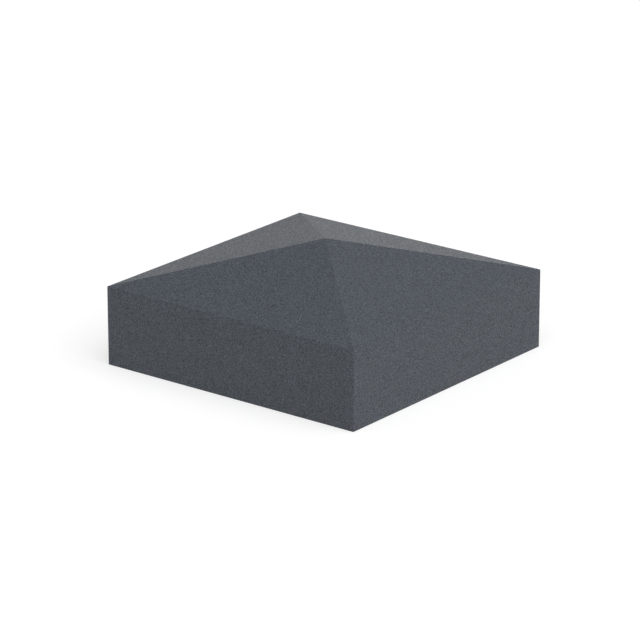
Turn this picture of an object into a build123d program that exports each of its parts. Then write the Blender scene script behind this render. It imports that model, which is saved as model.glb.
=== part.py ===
"""Pyramid cap for a square post: one aluminium casting, hollow underneath.

A square skirt stands around the top of the post. Four equal roof faces rise from the skirt's
upper edge, the eave, to a peak over the middle. The inside is one drafted hollow under an even
roof wall. Two ribs on each wall centre the cap on the post. Above the end of the post each rib
deepens into a gusset that braces the wall to the roof, and its foot is the stop that the post
meets.

Millimetres, +Z up. The origin is the middle of the rim, on the plane that the rim stands on.
"""

from build123d import *
import os
from math import atan2, cos, degrees, radians, tan

# The post that the cap goes over, and the cap's outside.
POST_SIDE = 100.0
CAP_SIDE = 106.0
SKIRT_HEIGHT = 28.3
ROOF_RISE = 14.3
EDGE_RADIUS = 0.3

# Walls. The hollow narrows upwards by the draft that lets the casting leave its core.
RIM_WALL = 2.0
ROOF_WALL = 2.5
DRAFT_ANGLE = 1.0
CORE_RADIUS = 1.5

# Ribs: where they stand along a wall, and how near they come to the post.
RIB_WIDTH = 2.4
RIB_FROM_MIDDLE = 30.0
RIB_PLAY = 0.2
RIB_FOOT = 2.0
RIB_LEAD_IN = 1.2
RIB_EDGE_RADIUS = 0.3
ROOTED_IN_WALL = 1.0

# Gussets: where the post stops, how far the stop covers the post's own wall, and their lean.
STOP_HEIGHT = 23.0
STOP_REACH = 3.0
GUSSET_LEAN = 30.0

SIDES = 4
QUARTER_TURN = 360.0 / SIDES

# Worked out from the sizes above.
PEAK_HEIGHT = SKIRT_HEIGHT + ROOF_RISE
ROOF_SLOPE = degrees(atan2(ROOF_RISE, CAP_SIDE / 2))
HOLLOW_PEAK = PEAK_HEIGHT - ROOF_WALL / cos(radians(ROOF_SLOPE))
HOLLOW_SIDE = CAP_SIDE - 2 * RIM_WALL


def pyramid(side, base_height, peak_height):
    """Square pyramid that stands on a level base."""
    base = Pos(0, 0, base_height) * Rectangle(side, side)
    return loft([base.face(), Vertex(0, 0, peak_height)])


def edges_at(solid, height):
    """The level edges at one height."""
    return solid.edges().filter_by_position(Axis.Z, height, height)


def outer_skin():
    """The cap as if it were solid: skirt block and roof, with every edge above the rim eased."""
    skirt = extrude(Rectangle(CAP_SIDE, CAP_SIDE), SKIRT_HEIGHT)
    form = skirt + pyramid(CAP_SIDE, SKIRT_HEIGHT, PEAK_HEIGHT)
    return fillet(form.edges() - edges_at(form, 0), EDGE_RADIUS)


def hollow():
    """The space inside: drafted walls up to a roof that is parallel to the outer one."""
    walls = extrude(Rectangle(HOLLOW_SIDE, HOLLOW_SIDE), PEAK_HEIGHT, taper=DRAFT_ANGLE)
    roof_side = 2 * HOLLOW_PEAK / tan(radians(ROOF_SLOPE))
    space = walls & pyramid(roof_side, 0, HOLLOW_PEAK)
    return fillet(space.edges() - edges_at(space, 0), CORE_RADIUS)


def rib_section():
    """Outline of a rib on the +X wall, seen along the wall: X from the axis, Y for height."""
    crest = POST_SIDE / 2 + RIB_PLAY
    stop_end = POST_SIDE / 2 - STOP_REACH
    root = HOLLOW_SIDE / 2 + ROOTED_IN_WALL
    gusset_top = HOLLOW_PEAK - stop_end * tan(radians(ROOF_SLOPE)) + ROOTED_IN_WALL
    gusset_end = stop_end - (gusset_top - STOP_HEIGHT) * tan(radians(GUSSET_LEAN))
    return Polyline(
        (root, RIB_FOOT),
        (crest + RIB_LEAD_IN, RIB_FOOT),
        (crest, RIB_FOOT + RIB_LEAD_IN),
        (crest, STOP_HEIGHT),
        (stop_end, STOP_HEIGHT),
        (gusset_end, gusset_top),
        (root, gusset_top),
        close=True,
    )


def rib():
    """One rib on the +X wall. Its rising edges are eased, but for those buried in the wall."""
    blank = extrude(Plane.XZ * make_face(rib_section()), RIB_WIDTH / 2, both=True)
    rising = blank.edges().filter_by(Plane.XY, reverse=True)
    buried = rising.group_by(Axis.X)[-1]
    return fillet(rising - buried, RIB_EDGE_RADIUS)


def cap():
    """The whole casting: outer skin, less the hollow, with an eased rim and its eight ribs."""
    shell = outer_skin() - hollow()
    shell = fillet(edges_at(shell, 0), EDGE_RADIUS)
    one_rib = rib()
    for side in range(SIDES):
        for from_middle in (-RIB_FROM_MIDDLE, RIB_FROM_MIDDLE):
            shell += Rot(0, 0, side * QUARTER_TURN) * Pos(0, from_middle, 0) * one_rib
    return shell


os.makedirs("parts", exist_ok=True)
export_step(cap(), "parts/post_cap.step")
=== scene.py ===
from math import atan, cos, pi, radians, sin, sqrt, tan

import bmesh
import bpy
import numpy as np
from mathutils import Matrix, Vector


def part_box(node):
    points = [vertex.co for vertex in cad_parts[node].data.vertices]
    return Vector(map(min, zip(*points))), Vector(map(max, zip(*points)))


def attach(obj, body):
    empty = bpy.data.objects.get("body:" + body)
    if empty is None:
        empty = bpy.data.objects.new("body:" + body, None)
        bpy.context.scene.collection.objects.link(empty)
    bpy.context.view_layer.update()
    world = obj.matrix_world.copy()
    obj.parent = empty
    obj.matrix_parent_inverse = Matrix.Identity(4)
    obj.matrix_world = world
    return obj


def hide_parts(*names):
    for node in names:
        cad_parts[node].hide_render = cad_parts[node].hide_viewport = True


# A pyramid cap for a square post, standing on its rim on a white studio floor. Metres, +Z up.
# The origin is the middle of the rim, on the plane that the rim stands on.
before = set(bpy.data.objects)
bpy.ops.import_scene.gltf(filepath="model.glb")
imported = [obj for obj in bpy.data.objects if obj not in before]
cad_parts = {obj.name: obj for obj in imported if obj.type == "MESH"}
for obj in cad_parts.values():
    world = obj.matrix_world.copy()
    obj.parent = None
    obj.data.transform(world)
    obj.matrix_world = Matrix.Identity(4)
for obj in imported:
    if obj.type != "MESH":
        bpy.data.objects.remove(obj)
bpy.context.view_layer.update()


# The camera. It stands a good metre off with a long lens, a little above the cap, and looks at
# the corner between the +X and -Y walls. The middle of the picture is a point above the rim.
MM = 0.001
CAMERA_AZIMUTH = radians(38.0)
CAMERA_ELEVATION = radians(19.1)
CAMERA_DISTANCE = 1.2985
LENS = 211.5
AIM_RIGHT = -1.80 * MM
AIM_UP = 14.18 * MM

backwards = Vector((
    sin(CAMERA_AZIMUTH) * cos(CAMERA_ELEVATION),
    -cos(CAMERA_AZIMUTH) * cos(CAMERA_ELEVATION),
    sin(CAMERA_ELEVATION),
))
rightwards = Vector((cos(CAMERA_AZIMUTH), sin(CAMERA_AZIMUTH), 0))
upwards = backwards.cross(rightwards)

camera = bpy.data.objects.new("camera", bpy.data.cameras.new("camera"))
camera.data.lens = LENS
camera.matrix_world = Matrix.Translation(
    CAMERA_DISTANCE * backwards + AIM_RIGHT * rightwards + AIM_UP * upwards
) @ Matrix((rightwards, upwards, backwards)).transposed().to_4x4()
bpy.context.scene.collection.objects.link(camera)
bpy.context.scene.camera = camera


# The cap. One aluminium casting: a square skirt under a low roof with four equal faces, and a
# hollow underneath with two ribs on each wall. It is powder coated all over, and it is pushed
# down over a square post until the post's end meets the stops above the ribs.
_, cap_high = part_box("post_cap")
HALF_SIDE = cap_high.x
SKIRT_HEIGHT = 28.3 * MM
ROOF_RISE = 14.3 * MM
EDGE_RADIUS = 0.3 * MM

RIM_WALL = 2.0 * MM
ROOF_WALL = 2.5 * MM
DRAFT = radians(1.0)
CORE_RADIUS = 1.5 * MM

HALF_POST = 50.0 * MM
RIB_HALF_WIDTH = 1.2 * MM
RIB_FROM_MIDDLE = 30.0 * MM
RIB_PLAY = 0.2 * MM
RIB_FOOT = 2.0 * MM
RIB_LEAD_IN = 1.2 * MM
STOP_HEIGHT = 23.0 * MM
STOP_REACH = 3.0 * MM
GUSSET_LEAN = radians(30.0)

SLOPE = atan(ROOF_RISE / HALF_SIDE)
PEAK = SKIRT_HEIGHT + ROOF_RISE
HOLLOW_PEAK = PEAK - ROOF_WALL / cos(SLOPE)
HALF_HOLLOW = HALF_SIDE - RIM_WALL
WALL_TURN = CORE_RADIUS * cos(DRAFT)
UNDERSIDE_TURN = CORE_RADIUS * sin(SLOPE)

# Where a rib is, as its line is followed from its foot up to the roof, and on which side of the
# casting a row is.
FOOT, CREST, STOP, STOP_END, ROOF, PAST_RIB = range(6)
NO_RIB = -1
OUTSIDE, INSIDE = 0, 1


def straight(first, last, count):
    """Rows from first towards last, which is left out: share t of the way at (1 - cos(pi t)) / 2,
    so that they stand closer together beside the rounded edges at both ends."""
    share = (1 - np.cos(np.linspace(0, pi, count, endpoint=False))) / 2
    return np.array(first) + share[:, None] * (np.array(last) - np.array(first))


def rounded(centre, height, radius, angles, count, stages=(NO_RIB, NO_RIB), side=OUTSIDE, corner=None):
    """Rows round an eased edge, the last left out. At angle a from straight up, a row stands
    radius sin a further out than the centre, and radius cos a above its height."""
    angle = np.linspace(*angles, count, endpoint=False)
    stage = np.linspace(*stages, count, endpoint=False)
    out = radius * np.sin(angle)
    corner = centre if corner is None else corner
    turn = centre - corner + out
    return np.stack([
        np.full(count, corner), turn, height + radius * np.cos(angle), stage, np.full(count, side),
    ], axis=1)


def rib_line(fall):
    """A rib's outline seen along the wall, at its foot, crest, stop, stop end and roof, as reach
    from the middle and height. fall is how far an eased edge lies behind the rib's face: a face
    that leans by b from upright is pushed back by fall / cos b, measured level."""
    crest = HALF_POST + RIB_PLAY
    lead_in = crest + RIB_LEAD_IN + RIB_FOOT + fall * sqrt(2)
    foot_height = (lead_in - HALF_HOLLOW) / (1 - tan(DRAFT))
    stop_end = HALF_POST - STOP_REACH + fall / cos(GUSSET_LEAN)
    roof_above_stop = HOLLOW_PEAK - STOP_HEIGHT - stop_end * tan(SLOPE)
    gusset_height = roof_above_stop / (1 - tan(GUSSET_LEAN) * tan(SLOPE))
    stop_height = np.full_like(fall, STOP_HEIGHT)
    reach = [
        HALF_HOLLOW - foot_height * tan(DRAFT), crest + fall, crest + fall, stop_end,
        stop_end - gusset_height * tan(GUSSET_LEAN),
    ]
    height = [
        foot_height, RIB_FOOT + RIB_LEAD_IN + fall * (sqrt(2) - 1), stop_height, stop_height,
        STOP_HEIGHT + gusset_height,
    ]
    return np.array(reach), np.array(height)


def wall_row(height, stage):
    """The inner wall at a height. It leans in by the draft, height x tan(draft) from the rim up."""
    return HALF_HOLLOW - height * tan(DRAFT) - WALL_TURN, WALL_TURN, height, stage, INSIDE


def section():
    """The cap's section as rows, from the peak down the outside, across the rim and up the inside
    to the underside of the peak. Each row is a square with rounded corners: how far out the
    middles of its corners stand, the radius of the corners, its height, the stage that a rib has
    reached there, and the side of the casting that it is on."""
    eave = HALF_SIDE - EDGE_RADIUS
    roof_turn = EDGE_RADIUS * sin(SLOPE)
    crown = PEAK - EDGE_RADIUS / cos(SLOPE)
    eave_height = crown - eave * tan(SLOPE)
    roof_lift = EDGE_RADIUS * cos(SLOPE)

    rim_centre = HALF_HOLLOW + EDGE_RADIUS * (1 - sin(DRAFT)) / cos(DRAFT)
    rim_top = EDGE_RADIUS * (1 - sin(DRAFT))
    rim_corner = wall_row(rim_top, NO_RIB)[0]

    hollow_crown = HOLLOW_PEAK - CORE_RADIUS / cos(SLOPE)
    cove = (HALF_HOLLOW - hollow_crown * tan(DRAFT) - CORE_RADIUS / cos(DRAFT)) / (
        1 - tan(SLOPE) * tan(DRAFT))
    cove_height = hollow_crown - cove * tan(SLOPE)
    cove_middle = (pi / 2 - DRAFT + SLOPE) / 2
    underside_lift = CORE_RADIUS * cos(SLOPE)
    reach, height = rib_line(np.array([EDGE_RADIUS]))
    gusset_corner = reach[ROOF, 0] - UNDERSIDE_TURN

    wall_top = cove_height + CORE_RADIUS * sin(DRAFT)
    half_stop = (STOP + STOP_END) / 2
    half_gusset = (STOP_END + ROOF) / 2
    return np.concatenate([
        rounded(0, crown, EDGE_RADIUS, (0, SLOPE), count=3),
        straight((0, roof_turn, crown + roof_lift, NO_RIB, OUTSIDE),
                 (eave, roof_turn, eave_height + roof_lift, NO_RIB, OUTSIDE), count=18),
        rounded(eave, eave_height, EDGE_RADIUS, (SLOPE, pi / 2), count=6),
        straight((eave, EDGE_RADIUS, eave_height, NO_RIB, OUTSIDE),
                 (eave, EDGE_RADIUS, EDGE_RADIUS, NO_RIB, OUTSIDE), count=12),
        rounded(eave, EDGE_RADIUS, EDGE_RADIUS, (pi / 2, pi), count=6),
        straight((eave, 0, 0, NO_RIB, OUTSIDE),
                 (rim_corner, rim_centre - rim_corner, 0, NO_RIB, INSIDE), count=4),
        rounded(rim_centre, EDGE_RADIUS, EDGE_RADIUS, (pi, 3 * pi / 2 - DRAFT), count=6,
                side=INSIDE, corner=rim_corner),
        straight(wall_row(rim_top, NO_RIB), wall_row(height[FOOT, 0], FOOT), count=4),
        straight(wall_row(height[FOOT, 0], FOOT), wall_row(height[CREST, 0], CREST), count=3),
        straight(wall_row(height[CREST, 0], CREST), wall_row(STOP_HEIGHT, STOP), count=10),
        straight(wall_row(STOP_HEIGHT, STOP), wall_row(wall_top, half_stop), count=3),
        rounded(cove, cove_height, CORE_RADIUS, (pi / 2 - DRAFT, cove_middle), count=4,
                stages=(half_stop, STOP_END), side=INSIDE),
        rounded(cove, cove_height, CORE_RADIUS, (cove_middle, SLOPE), count=4,
                stages=(STOP_END, half_gusset), side=INSIDE),
        straight((cove, UNDERSIDE_TURN, cove_height + underside_lift, half_gusset, INSIDE),
                 (gusset_corner, UNDERSIDE_TURN, height[ROOF, 0], ROOF, INSIDE), count=4),
        straight((gusset_corner, UNDERSIDE_TURN, height[ROOF, 0], ROOF, INSIDE),
                 (0, UNDERSIDE_TURN, hollow_crown + underside_lift, PAST_RIB, INSIDE), count=12),
        rounded(0, hollow_crown, CORE_RADIUS, (SLOPE, 0), count=5,
                stages=(PAST_RIB, PAST_RIB), side=INSIDE),
        [(0, 0, hollow_crown + CORE_RADIUS, PAST_RIB, INSIDE)],
    ])


def wall_columns(corner):
    """Places along one wall, from its corner to the next: the distance from the wall's middle,
    the angle turned at the corner, and how far an eased rib edge falls back, with NaN off the
    ribs. At angle a from the rib's face, an edge eased by e falls back e (1 - cos a), and stands
    e (1 - sin a) in from the rib's side. A rib's sides have two columns each, one on the wall and
    one on the rib."""
    def stretch(first, last, count):
        return straight((first,), (last,), count)[:, 0]

    angle = np.linspace(pi / 2, 0, num=5)
    fall = EDGE_RADIUS * (1 - np.cos(angle))
    out = RIB_HALF_WIDTH - EDGE_RADIUS * (1 - np.sin(angle))
    rib = np.concatenate([-out, out[::-1]])
    rib_fall = np.concatenate([fall, fall[::-1]])
    near, far = RIB_FROM_MIDDLE - RIB_HALF_WIDTH, RIB_FROM_MIDDLE + RIB_HALF_WIDTH
    turns = np.linspace(0, pi / 2, num=8, endpoint=False)
    pieces = [
        (stretch(-corner, -far, count=8), None), ([-far], None), (rib - RIB_FROM_MIDDLE, rib_fall),
        (stretch(-near, near, count=16), None), ([near], None), (rib + RIB_FROM_MIDDLE, rib_fall),
        (stretch(far, corner, count=8), None), (np.full(len(turns), corner), None),
    ]
    along = np.concatenate([place for place, _ in pieces])
    falls = np.concatenate([
        np.full(len(place), np.nan) if back is None else back for place, back in pieces])
    angles = np.concatenate([np.zeros(len(along) - len(turns)), turns])
    return along, angles, falls


def cap_surface():
    """The whole surface on a grid of rows down and up the section and columns round the cap.
    A row whose corner middles stand at c, with corner radius r, has its columns at
    (c + r cos a, y + r sin a), with a = 0 along a wall. Inside, from the rim to the upper ends of
    the ribs, y stays as it is as far out as their outer sides, and elsewhere it shrinks with c.
    A quarter turn is a product with i."""
    rows = section()
    corner, turn, height, stage, inside = rows.T[:, :, None]
    first_inner = np.argmax(inside[:, 0] == INSIDE)
    wall_corner = corner[first_inner, 0]
    past_ribs = corner[np.argmax(stage[:, 0] > ROOF), 0]
    along, angle, fall = wall_columns(wall_corner)

    beyond_ribs = RIB_FROM_MIDDLE + RIB_HALF_WIDTH
    spread = np.where(inside < INSIDE, corner / wall_corner,
                      np.where(stage <= ROOF, 1, corner / past_ribs))
    near = np.minimum(np.abs(along), beyond_ribs) * spread
    far_share = np.maximum(np.abs(along) - beyond_ribs, 0) / (wall_corner - beyond_ribs)
    far = far_share * (corner - beyond_ribs * spread)
    x = corner + turn * np.cos(angle)
    y = np.sign(along) * (near + far) + turn * np.sin(angle)
    z = height + 0 * x

    reach, rise = rib_line(np.nan_to_num(fall))
    step = np.clip(np.floor(stage[:, 0]), FOOT, STOP_END).astype(int)
    share = stage - step[:, None]
    on_rib = ~np.isnan(fall) & (stage >= FOOT) & (stage <= ROOF)
    x = np.where(on_rib, (1 - share) * reach[step] + share * reach[step + 1], x)
    z = np.where(on_rib, (1 - share) * rise[step] + share * rise[step + 1], z)

    quarter_turns = 1j ** np.arange(4)
    plan = ((x + 1j * y)[:, None, :] * quarter_turns[:, None]).reshape(len(rows), -1)
    points = np.stack([plan.real, plan.imag, np.tile(z, 4)], axis=-1)
    return points, np.broadcast_to(inside, plan.shape)


def cast_cap(name):
    """Puts the surface into a mesh. Its columns close on themselves, and what falls together at
    the peak, at the sharp corners of the rim and beside the ribs is merged."""
    MERGED_WITHIN, SHARP_FROM = 0.0005 * MM, radians(32)
    points, inside = cap_surface()
    row_count, column_count = inside.shape
    index = np.arange(row_count * column_count).reshape(row_count, column_count)
    after = np.roll(index, -1, axis=1)
    quads = np.stack([index[:-1], index[1:], after[1:], after[:-1]], axis=-1).reshape(-1, 4)
    mesh = bpy.data.meshes.new(name)
    mesh.from_pydata(points.reshape(-1, 3), [], quads)
    mesh.attributes.new("inside", "FLOAT", "POINT").data.foreach_set("value", inside.ravel())
    shell = bmesh.new()
    shell.from_mesh(mesh)
    bmesh.ops.remove_doubles(shell, verts=shell.verts, dist=MERGED_WITHIN)
    shell.to_mesh(mesh)
    shell.free()
    mesh.shade_smooth()
    mesh.set_sharp_from_angle(angle=SHARP_FROM)
    cap = bpy.data.objects.new(name, mesh)
    bpy.context.scene.collection.objects.link(cap)
    flat_faces = cap.modifiers.new("flat_faces", "WEIGHTED_NORMAL")
    flat_faces.keep_sharp = True
    return cap


class Wire:
    """The output of a shader node. Sums, differences and products of wires, and of wires and
    numbers, add Math nodes to the shader that the wire is in."""

    def __init__(self, socket):
        self.socket = socket

    @classmethod
    def add(cls, tree, kind, settings=None, values=None, output=0):
        """Adds a node of a kind: its settings first, then its sockets' numbers, colours or wires."""
        node = tree.nodes.new(kind)
        for name, setting in (settings or {}).items():
            setattr(node, name, setting)
        for name, value in (values or {}).items():
            if isinstance(value, Wire):
                tree.links.new(value.socket, node.inputs[name])
            else:
                node.inputs[name].default_value = value
        return cls(node.outputs[output]) if node.outputs else node

    @classmethod
    def math(cls, operation, *values):
        tree = next(value.socket.id_data for value in values if isinstance(value, Wire))
        return cls.add(tree, "ShaderNodeMath", {"operation": operation}, dict(enumerate(values)))

    def __add__(self, other):
        return Wire.math("ADD", self, other)

    def __sub__(self, other):
        return Wire.math("SUBTRACT", self, other)

    def __rsub__(self, other):
        return Wire.math("SUBTRACT", other, self)

    def __mul__(self, other):
        return Wire.math("MULTIPLY", self, other)

    __radd__ = __add__
    __rmul__ = __mul__


def empty_shader(owner):
    """Gives the node tree of a material or the world, emptied."""
    owner.use_nodes = True
    owner.node_tree.nodes.clear()
    return owner.node_tree


def blend(share, first, second):
    """The first colour where the share is 0, and the second where it is 1. A Mix node has sockets
    of the same names for numbers and vectors, so the sockets are given by their places."""
    SHARE, FIRST, SECOND, RESULT = 0, 6, 7, 2
    return Wire.add(share.socket.id_data, "ShaderNodeMix", {"data_type": "RGBA"},
                    {SHARE: share, FIRST: first, SECOND: second}, output=RESULT)


def powder_coat():
    """Fine-textured coat. Its powder is dark and pale grains as wide as POWDER, with a few bright
    specks, over a slower mottle. Its surface has crowns and hollows as wide as TEXTURE: the crowns
    are matt, and the hollows, which flowed smooth, shine where a face is seen at a low angle.
    Inside, where less powder reaches, it is darker and duller. All noise is turned away from the
    cap's faces, because along its own planes it is weak."""
    POWDER, TEXTURE, SPECK, MOTTLE = 0.50 * MM, 0.46 * MM, 0.55 * MM, 4.0 * MM
    PATTERN_TURN = (0.5, 0.7, 0.3)
    DARK_GRAIN = (0.0182, 0.0214, 0.0262, 1)
    PALE_GRAIN = (0.0974, 0.1144, 0.1402, 1)
    POWDER_CONTRAST, MOTTLE_CONTRAST = 1.9, 0.10
    RARE, SPECK_CONTRAST = 0.68, 6.0
    TEXTURE_CONTRAST, TEXTURE_HEIGHT = 2.4, 0.040 * MM
    MIDDLE_TONE, ROUGHNESS, ROUGHNESS_SWING = 0.50, 0.56, 0.60
    DARKER_INSIDE, DULLER_INSIDE = 0.10, 0.10

    coat = bpy.data.materials.new("fine_textured_coat")
    tree = empty_shader(coat)
    place = Wire.add(tree, "ShaderNodeMapping", {}, {
        "Vector": Wire.add(tree, "ShaderNodeTexCoord", output="Object"),
        "Rotation": PATTERN_TURN})

    def noise(width, detail, middle=0.5):
        """Noise of one width across the surface, less its middle."""
        field = Wire.add(tree, "ShaderNodeTexNoise", {"noise_dimensions": "3D"},
                         {"Vector": place, "Scale": 1 / width, "Detail": detail})
        return field - middle

    specks = Wire.math("MAXIMUM", noise(SPECK, detail=0, middle=RARE), 0) * SPECK_CONTRAST
    powder = noise(POWDER, detail=1) * POWDER_CONTRAST + noise(MOTTLE, detail=2) * MOTTLE_CONTRAST
    texture = noise(TEXTURE, detail=1) * TEXTURE_CONTRAST
    inside = Wire.add(tree, "ShaderNodeAttribute", {"attribute_name": "inside"}, output="Fac")
    tone = MIDDLE_TONE + powder + specks - DARKER_INSIDE * inside
    bump = Wire.add(tree, "ShaderNodeBump", {},
                    {"Height": texture, "Strength": 1.0, "Distance": TEXTURE_HEIGHT})
    surface = Wire.add(tree, "ShaderNodeBsdfPrincipled", {}, {
        "Base Color": blend(tone, DARK_GRAIN, PALE_GRAIN),
        "Roughness": ROUGHNESS + ROUGHNESS_SWING * texture + DULLER_INSIDE * inside,
        "Normal": bump,
    })
    Wire.add(tree, "ShaderNodeOutputMaterial", {}, {"Surface": surface})
    return coat


cap = cast_cap("post_cap_casting")
cap.data.materials.append(powder_coat())
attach(cap, "root")
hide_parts("post_cap")


# The studio. A floor that is seen white, a pale backdrop all round, a dim ceiling, even light from
# all over, a broad lamp high in front on the right and a weak one behind. A level white sheet gets
# about 1 from them all together, so that a colour shows about as it is.
FLOOR_SIDE = 12.0
FLOOR_SHADE = 0.50
FLOOR_SEEN = 1.03
BACKDROP_TOP = radians(15)
BACKDROP_FADE = radians(5)
BACKDROP_SHADE = 0.76
CEILING_SHADE = 0.18
EVEN_LIGHT = 0.33


def where_seen(tree):
    """1 for what the camera sees directly, in a gloss or through glass, and 0 for other light."""
    direct, gloss, through = (
        Wire.add(tree, "ShaderNodeLightPath", output=ray)
        for ray in ("Is Camera Ray", "Is Glossy Ray", "Is Transmission Ray"))
    return Wire.math("MAXIMUM", Wire.math("MAXIMUM", direct, gloss), through)


def studio_floor():
    """Floor whose paint throws FLOOR_SHADE back. A glow adds the rest up to FLOOR_SEEN, a little
    over white, where it is seen, so that only the cap's shadow shows on it."""
    half = FLOOR_SIDE / 2
    mesh = bpy.data.meshes.new("floor")
    mesh.from_pydata([(-half, -half, 0), (half, -half, 0), (half, half, 0), (-half, half, 0)],
                     [], [(0, 1, 2, 3)])
    floor = bpy.data.objects.new("floor", mesh)
    bpy.context.scene.collection.objects.link(floor)
    material = bpy.data.materials.new("floor")
    tree = empty_shader(material)
    paint = Wire.add(tree, "ShaderNodeBsdfDiffuse", {}, {"Color": (FLOOR_SHADE,) * 3 + (1,)})
    glow = Wire.add(tree, "ShaderNodeEmission", {},
                    {"Strength": (FLOOR_SEEN - FLOOR_SHADE) * where_seen(tree)})
    both = Wire.add(tree, "ShaderNodeAddShader", {}, {0: paint, 1: glow})
    Wire.add(tree, "ShaderNodeOutputMaterial", {}, {"Surface": both})
    floor.data.materials.append(material)


def surroundings():
    """Backdrop and ceiling as they are seen, told apart by how high up a direction points, and
    the even light that they give."""
    world = bpy.data.worlds.new("surroundings")
    tree = empty_shader(world)
    direction = Wire.add(tree, "ShaderNodeTexCoord", output="Generated")
    rise = Wire.add(tree, "ShaderNodeSeparateXYZ", {}, {"Vector": direction}, output="Z")
    shade = Wire.add(tree, "ShaderNodeMapRange", {"interpolation_type": "SMOOTHSTEP"}, {
        "Value": rise, "From Min": sin(BACKDROP_TOP - BACKDROP_FADE),
        "From Max": sin(BACKDROP_TOP + BACKDROP_FADE),
        "To Min": BACKDROP_SHADE, "To Max": CEILING_SHADE})
    seen = where_seen(tree)
    light = Wire.add(tree, "ShaderNodeBackground", {}, {
        "Color": (1, 1, 1, 1), "Strength": seen * shade + (1 - seen) * EVEN_LIGHT})
    Wire.add(tree, "ShaderNodeOutputWorld", {}, {"Surface": light})
    bpy.context.scene.world = world


def lamp(name, azimuth, elevation, strength, spread):
    """A broad lamp far off. Its angles are in degrees, the azimuth from +X towards +Y, and its
    strength is what it adds on a white sheet that faces it."""
    light = bpy.data.lights.new(name, "SUN")
    light.energy = strength * pi
    light.angle = radians(spread)
    holder = bpy.data.objects.new(name, light)
    towards = Vector((cos(radians(azimuth)) * cos(radians(elevation)),
                      sin(radians(azimuth)) * cos(radians(elevation)), sin(radians(elevation))))
    holder.rotation_mode = "QUATERNION"
    holder.rotation_quaternion = towards.to_track_quat("Z", "Y")
    bpy.context.scene.collection.objects.link(holder)


studio_floor()
surroundings()
lamp("key_lamp", azimuth=-24, elevation=57, strength=0.785, spread=80)
lamp("back_lamp", azimuth=105, elevation=25, strength=0.045, spread=60)
bpy.context.scene.view_settings.view_transform = "Standard"
